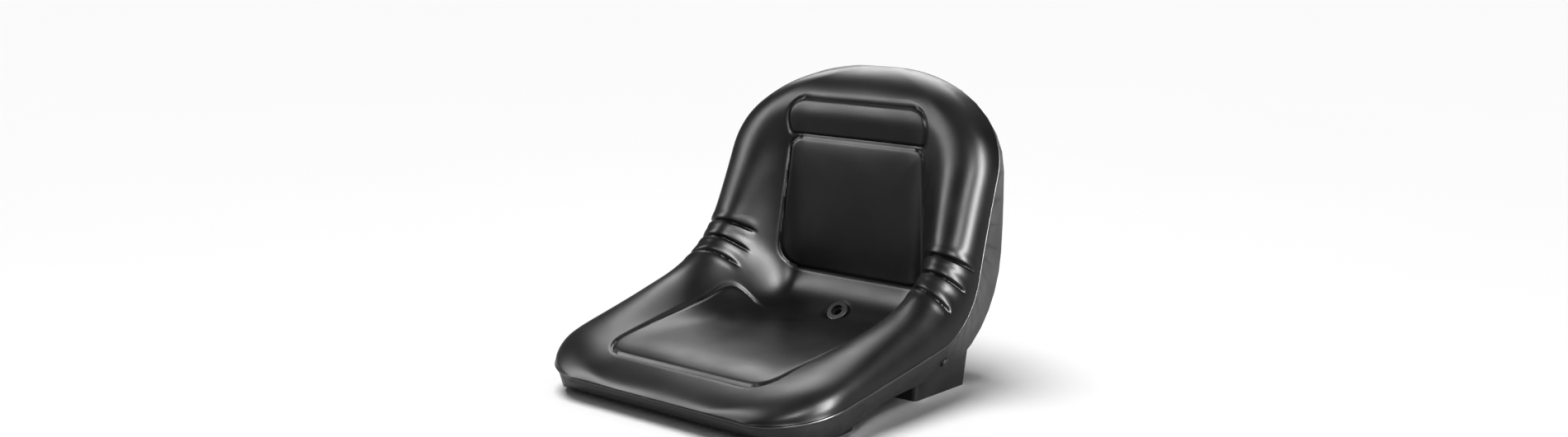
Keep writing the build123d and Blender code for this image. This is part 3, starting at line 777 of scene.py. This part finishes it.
    def drain_socket(self, grid: Array) -> Array:
        """Sinks the skin under the drain bush's head, with a pit where its bore is.

        Args:
            grid: Points of the skin.

        Returns:
            The changed points.
        """
        top, foot = np.array(self.drain_centre), np.array(self.drain_foot)
        turn = math.radians(self.drain_lean_deg)
        face = np.array((0.0, -math.sin(turn), math.cos(turn)))
        offset = grid - top
        rise = offset @ face
        flat = offset - rise[..., None] * face
        reach = np.linalg.norm(flat, axis=-1)
        near = np.abs(rise) < 20.0
        sink = (1 - smooth_share(reach, self.drain_radius, self.drain_radius + 7.0)) * near
        level = np.where(reach < self.drain_radius, -self.drain_sink, np.minimum(rise, -self.drain_sink + 0.5 * (
            reach - self.drain_radius)))
        target = np.minimum(rise, level)
        out = grid + (sink * (target - rise))[..., None] * face
        down = (foot - top) / np.linalg.norm(foot - top)
        along = (grid - top) @ down
        radial = np.linalg.norm(grid - top - along[..., None] * down, axis=-1)
        pit = (radial < self.drain_pit_radius) & near
        return out + (pit * self.drain_pit)[..., None] * down

    def build(self) -> bpy.types.Object:
        """Builds the skin as one closed mesh.

        Returns:
            The cushion's object.
        """
        s = self.stations()
        x, h = self.sections(s)
        grid = self.relax(self.place(s[:, None], x, h), self.relax_passes)
        normal = self.normals(grid)
        panel_rise, panel_depth = self.panels(grid)
        pleat_rise, pleat_depth = self.pleats(grid)
        wave = 0.35 * (np.sin(grid[..., 0] / 23.0 + 1.3) * np.sin(grid[..., 1] / 31.0 + grid[..., 2] / 27.0))
        edge = smooth_share(np.arange(grid.shape[1])[None, :], 2, 14)
        edge = edge * edge[:, ::-1]
        top = grid + ((panel_rise + pleat_rise + wave) * edge)[..., None] * normal
        top = self.drain_socket(top)
        base = self.height(self.rim, s) + self.seat_gap
        tucked = np.maximum(self.rim_half(s, self.under_inset), 8.0)
        sunk = smooth_share(s, self.s_front + 6.0, self.s_front + 44.0) * (
            1 - smooth_share(s, self.s_end - 44.0, self.s_end - 6.0))
        edge_h = base - 0.3
        floor_h = edge_h + (self.under_lift - edge_h) * sunk
        foot = tucked * self.under_taper
        under = [(tucked, edge_h), (foot, floor_h), (-foot, floor_h), (-tucked, edge_h)]
        low = [self.place(s, ux, uh) for ux, uh in under]
        ring = np.concatenate([top] + [point[:, None, :] for point in reversed(low)], axis=1)
        rows, columns = ring.shape[:2]
        numbers = np.arange(rows * columns).reshape(rows, columns)
        following = np.roll(numbers, -1, axis=1)
        faces = np.stack([numbers[:-1], following[:-1], following[1:], numbers[1:]], axis=-1).reshape(-1, 4).tolist()
        faces += [numbers[0, ::-1].tolist(), numbers[-1].tolist()]
        mesh = bpy.data.meshes.new("cushion_skin")
        mesh.from_pydata((ring.reshape(-1, 3) * MM).tolist(), [], faces)
        mesh.validate()
        # The depths of the pressed lines and pleat folds go to the vinyl, which darkens these creases as painted
        # shade.
        depth = np.zeros((rows, columns), np.float32)
        depth[:, :top.shape[1]] = np.maximum(panel_depth, pleat_depth) * edge
        crease_shade_attribute = mesh.attributes.new("line_depth", "FLOAT", "POINT")
        crease_shade_attribute.data.foreach_set("value", depth.ravel())
        mesh.shade_smooth()
        mesh.update()
        cushion = bpy.data.objects.new("cushion_skin", mesh)
        bpy.context.scene.collection.objects.link(cushion)
        self.face_outwards(mesh)
        mesh.set_sharp_from_angle(angle=math.radians(60))
        return cushion

    @staticmethod
    def face_outwards(mesh: bpy.types.Mesh) -> None:
        """Turns all faces outwards if the closed mesh encloses a negative volume.

        Args:
            mesh: The closed mesh.
        """
        mesh.calc_loop_triangles()
        corner = np.zeros(len(mesh.vertices) * 3)
        mesh.vertices.foreach_get("co", corner)
        corner = corner.reshape(-1, 3)
        triangles = np.zeros(len(mesh.loop_triangles) * 3, np.int32)
        mesh.loop_triangles.foreach_get("vertices", triangles)
        a, b, c = (corner[triangles.reshape(-1, 3)[:, k]] for k in range(3))
        if np.einsum("ij,ij->i", a, np.cross(b, c)).sum() < 0:
            mesh.flip_normals()

    def dress(self, cushion: bpy.types.Object) -> None:
        """Gives the skin its finish and its place in the frame.

        Args:
            cushion: The cushion's object.
        """
        cushion.data.materials.append(self.finish.make())
        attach(cushion, BODY)
        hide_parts("seat_cushion")


@dataclass
class RimBead:
    """The pan's thin moulded lip, under the cushion's edge; its plastic is coloured lighter than the pan's as a
    painted highlight, so it shows as a light line.
    """

    cushion: Cushion
    finish: MouldedPlastic
    out: float = 1.6
    below: float = 2.2
    radius: float = 1.5
    side_points: int = 160
    end_points: int = 24

    def build(self) -> bpy.types.Object:
        """Builds the lip as a closed round bead along the rim.

        Returns:
            The bead's object.
        """
        form = self.cushion
        turn = np.linspace(0, math.pi, self.side_points)
        s = form.s_front + (form.s_end - form.s_front) * (1 - np.cos(turn)) / 2
        half = form.rim_half(s, 0.0) + self.out
        h = form.height(form.rim, s) - self.below
        right = form.place(s, half, h)
        left = form.place(s, -half, h)[::-1]
        share = np.linspace(0, 1, self.end_points)[1:-1, None]
        top = right[-1] + (left[0] - right[-1]) * share
        front = left[-1] + (right[0] - left[-1]) * share
        points = np.concatenate([right, top, left, front]) * MM
        curve = bpy.data.curves.new("pan_rim_bead", "CURVE")
        curve.dimensions = "3D"
        curve.bevel_depth = self.radius * MM
        curve.bevel_resolution = 3
        spline = curve.splines.new("POLY")
        spline.points.add(len(points) - 1)
        spline.points.foreach_set("co", np.c_[points, np.ones(len(points))].ravel())
        spline.use_cyclic_u = True
        bead = bpy.data.objects.new("pan_rim_bead", curve)
        bpy.context.scene.collection.objects.link(bead)
        return bead

    def dress(self, bead: bpy.types.Object) -> None:
        """Gives the bead its finish and its place in the frame.

        Args:
            bead: The bead's object.
        """
        bead.data.materials.append(self.finish.make())
        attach(bead, BODY)


@dataclass
class SwitchFoam:
    """The foam that shows through the notched hole in the pan's underside."""

    centre_y: float = 14.5
    hole_radius: float = 35.0
    notch_radius: float = 41.0
    notch_arc_deg: float = 60.0
    notch_turn_deg: float = 76.0
    notches: int = 3
    overlap: float = 2.5
    low_z: float = 15.0
    high_z: float = 23.0
    belly: float = 0.8
    rings: int = 10
    spokes: int = 144
    finish: PolyurethaneFoam = field(default_factory=PolyurethaneFoam)

    def build(self) -> bpy.types.Object:
        """Builds a shallow foam disc with a soft lower face.

        Returns:
            The foam's object.
        """
        angle = np.linspace(0, 2 * math.pi, self.spokes, endpoint=False)
        radius = np.full(self.spokes, self.hole_radius + self.overlap)
        for number in range(self.notches):
            middle = math.radians(self.notch_turn_deg + number * 360 / self.notches)
            away = np.abs((angle - middle + math.pi) % (2 * math.pi) - math.pi)
            radius = np.where(away < math.radians(self.notch_arc_deg / 2) + 0.04, self.notch_radius + self.overlap, radius)
        points: List[Tuple[float, float, float]] = []
        for level in range(self.rings, 0, -1):
            share = level / self.rings
            z = self.low_z - self.belly * (1 - share ** 2) + 0.25 * math.sin(level * 2.1)
            points += [(r * share * math.cos(a), self.centre_y + r * share * math.sin(a), z) for r, a in zip(radius, angle)]
        points += [(r * math.cos(a), self.centre_y + r * math.sin(a), self.high_z) for r, a in zip(radius, angle)]
        points.append((0.0, self.centre_y, self.low_z - self.belly))
        points.append((0.0, self.centre_y, self.high_z))
        faces: List[Tuple[int, ...]] = []
        for level in range(self.rings - 1):
            for k in range(self.spokes):
                a, b = level * self.spokes + k, level * self.spokes + (k + 1) % self.spokes
                faces.append((a, b, b + self.spokes, a + self.spokes))
        top, low_mid = self.rings * self.spokes, (self.rings + 1) * self.spokes
        for k in range(self.spokes):
            following = (k + 1) % self.spokes
            inner = (self.rings - 1) * self.spokes
            faces.append((inner + k, inner + following, low_mid))
            faces.append((following, k, top + k, top + following))
            faces.append((top + following, top + k, low_mid + 1))
        mesh = bpy.data.meshes.new("switch_hole_foam")
        mesh.from_pydata([tuple(v * MM for v in p) for p in points], [], faces)
        mesh.validate()
        mesh.shade_smooth()
        foam = bpy.data.objects.new("switch_hole_foam", mesh)
        bpy.context.scene.collection.objects.link(foam)
        Cushion.face_outwards(mesh)
        mesh.set_sharp_from_angle(angle=math.radians(50))
        return foam

    def dress(self, foam: bpy.types.Object) -> None:
        """Gives the foam its finish and its place in the frame.

        Args:
            foam: The foam's object.
        """
        foam.data.materials.append(self.finish.make())
        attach(foam, BODY)


@dataclass
class HardParts:
    """The rigid CAD nodes: the pan, the drain bush, the threaded inserts and the clips."""

    merge_mm: float = 0.005
    crease_deg: float = 28.0
    finishes: Mapping[str, Any] = field(default_factory=lambda: {
        "seat_pan": MouldedPlastic("moulded_polypropylene", "#1c1c1d", "#272728"),
        "drain_bush": MouldedPlastic("moulded_nylon_bush", "#1d1d1e", "#2b2b2c", texture_mm=0.8, roughness=(0.3, 0.4)),
        "threaded_inserts": TurnedSteel(),
        "cushion_clips": MouldedPlastic("moulded_nylon_clip", "#1a1a1b", "#262627", texture_mm=0.8),
    })

    def smoothing(self) -> bpy.types.NodeTree:
        """Geometry nodes that join the CAD faces and keep only real edges sharp.

        Returns:
            The node group.
        """
        tree = bpy.data.node_groups.new("soft_mould_faces", "GeometryNodeTree")
        tree.interface.new_socket("Geometry", in_out="INPUT", socket_type="NodeSocketGeometry")
        tree.interface.new_socket("Geometry", in_out="OUTPUT", socket_type="NodeSocketGeometry")
        start = add_node(tree, "NodeGroupInput")
        merged = add_node(tree, "GeometryNodeMergeByDistance", {
            "Geometry": start.outputs[0], "Distance": self.merge_mm * MM})
        angle = add_node(tree, "GeometryNodeInputMeshEdgeAngle")
        soft = add_node(tree, "FunctionNodeCompare", {
            0: angle.outputs["Unsigned Angle"], 1: math.radians(self.crease_deg)}, operation="LESS_THAN")
        faces = add_node(tree, "GeometryNodeSetShadeSmooth", {
            "Geometry": merged.outputs["Geometry"], "Shade Smooth": True}, domain="FACE")
        edges = add_node(tree, "GeometryNodeSetShadeSmooth", {
            "Geometry": faces.outputs["Geometry"], "Shade Smooth": soft.outputs["Result"]}, domain="EDGE")
        add_node(tree, "NodeGroupOutput", {0: edges.outputs["Geometry"]})
        return tree

    def dress(self) -> List[str]:
        """Gives each CAD node its finish, and smooth shading across its moulded faces.

        Returns:
            The names of the nodes.
        """
        smoothing = self.smoothing()
        for name, finish in self.finishes.items():
            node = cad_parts[name]
            node.data.materials.clear()
            node.data.materials.append(finish.make())
            custom = node.data.attributes.get("custom_normal")
            if custom is not None:
                node.data.attributes.remove(custom)
            modifier = node.modifiers.new("soft_mould_faces", "NODES")
            modifier.node_group = smoothing
        return list(self.finishes)


class LightShape(Enum):
    """What kind of studio light is hung."""

    SOFTBOX = "RECTANGLE"
    SKY = "SUN"


@dataclass(frozen=True)
class StudioLight:
    """One light of the studio: where it hangs, what it faces and how strong it is."""

    name: str
    shape: LightShape
    place: Tuple[float, float, float]
    target: Tuple[float, float, float]
    power: float
    size: Tuple[float, float] = (1.0, 1.0)
    angle_deg: float = 0.0

    def hang(self) -> None:
        """Adds the light to the scene."""
        if self.shape is LightShape.SKY:
            lamp = bpy.data.lights.new(self.name, "SUN")
            lamp.angle = math.radians(self.angle_deg)
        else:
            lamp = bpy.data.lights.new(self.name, "AREA")
            lamp.shape = self.shape.value
            lamp.size, lamp.size_y = self.size
        lamp.energy = self.power
        holder = bpy.data.objects.new(self.name, lamp)
        holder.visible_diffuse = self.shape is LightShape.SKY
        holder.visible_glossy = self.shape is LightShape.SOFTBOX
        holder.location = self.place
        aim = Vector(self.target) - Vector(self.place)
        holder.rotation_euler = aim.to_track_quat("-Z", "Y").to_euler()
        bpy.context.scene.collection.objects.link(holder)


@dataclass
class Studio:
    """A pale floor, soft light and a camera at the photograph's angle."""

    image: Tuple[int, int] = (1900, 530)
    focal_px: float = 2000.0
    principal_px: Tuple[float, float] = (945.0, 300.0)
    azimuth_deg: float = 40.91
    elevation_deg: float = 11.54
    camera_place: Tuple[float, float, float] = (1.3388, -1.5394, 0.5963)
    sensor_mm: float = 36.0
    floor_size: float = 60.0
    world_colour: str = "#ffffff"
    world_strength: float = 0.16
    finish: PaintedFloor = field(default_factory=PaintedFloor)
    lights: Sequence[StudioLight] = (
        StudioLight("sky", LightShape.SKY, (-0.5, -0.2, 3.0), (0, 0, 0), 3.0, angle_deg=35.0),
        StudioLight("right_strip", LightShape.SOFTBOX, (1.5, -0.1, 0.8), (0.1, 0.1, 0.2), 260.0, (0.45, 1.5)),
        StudioLight("front_box", LightShape.SOFTBOX, (1.2, -1.5, 1.4), (0, 0, 0.2), 90.0, (0.7, 0.7)),
        StudioLight("left_box", LightShape.SOFTBOX, (-1.2, -0.9, 1.0), (0, 0, 0.2), 60.0, (0.5, 1.2)),
        StudioLight("rear_box", LightShape.SOFTBOX, (-0.9, 1.1, 1.5), (0, -0.05, 0.1), 45.0, (1.3, 1.0)),
    )

    def build(self) -> None:
        """Adds floor, world, lights and camera."""
        half = self.floor_size / 2
        mesh = bpy.data.meshes.new("studio_floor")
        mesh.from_pydata([(-half, -half, 0), (half, -half, 0), (half, half, 0), (-half, half, 0)], [], [(0, 1, 2, 3)])
        floor = bpy.data.objects.new("studio_floor", mesh)
        floor.location = (0, 0, CAD_BOX[0].z - 0.0002)
        floor.data.materials.append(self.finish.make())
        bpy.context.scene.collection.objects.link(floor)
        world = bpy.data.worlds.new("studio_world")
        bpy.context.scene.world = world
        world.use_nodes = True
        world.node_tree.nodes.clear()
        sky = add_node(world.node_tree, "ShaderNodeBackground", {
            "Color": linear(self.world_colour), "Strength": self.world_strength})
        add_node(world.node_tree, "ShaderNodeOutputWorld", {"Surface": sky.outputs["Background"]})
        for light in self.lights:
            light.hang()
        self.add_camera()
        bpy.context.scene.view_settings.view_transform = "Standard"

    def add_camera(self) -> None:
        """Adds the camera with the photograph's angle and framing."""
        lens = bpy.data.cameras.new("camera")
        width, height = self.image
        lens.sensor_width = self.sensor_mm
        lens.lens = self.focal_px / width * self.sensor_mm
        lens.shift_x = (width / 2 - self.principal_px[0]) / width
        lens.shift_y = (self.principal_px[1] - height / 2) / width
        lens.dof.use_dof = False
        camera = bpy.data.objects.new("camera", lens)
        turn, tilt = math.radians(self.azimuth_deg), math.radians(self.elevation_deg)
        right = Vector((math.cos(turn), math.sin(turn), 0))
        ahead = Vector((-math.sin(turn) * math.cos(tilt), math.cos(turn) * math.cos(tilt), -math.sin(tilt)))
        up = right.cross(ahead)
        pose = Matrix((right, up, -ahead)).transposed().to_4x4()
        pose.translation = Vector(self.camera_place)
        camera.matrix_world = pose
        bpy.context.scene.collection.objects.link(camera)
        bpy.context.scene.camera = camera


def main() -> None:
    """Builds and dresses the seat and its studio, and reports each piece."""
    logging.basicConfig(level=logging.INFO)
    cushion = Cushion()
    skin = cushion.build()
    cushion.dress(skin)
    LOG.info("%s: %d faces", skin.name, len(skin.data.polygons))
    # The lip's plastic is the pan's, coloured lighter as a painted highlight along the rim.
    lip = RimBead(cushion, MouldedPlastic(
        "moulded_polypropylene_lip_painted_highlight", "#2a2a2b", "#3a3a3b", roughness=(0.28, 0.36), specular=0.4))
    bead = lip.build()
    lip.dress(bead)
    LOG.info("%s: %d points", bead.name, len(bead.data.splines[0].points))
    foam = SwitchFoam()
    plug = foam.build()
    foam.dress(plug)
    LOG.info("%s: %d faces", plug.name, len(plug.data.polygons))
    for name in HardParts().dress():
        LOG.info("%s: dressed", name)
    Studio().build()


if __name__ == "__main__":
    main()
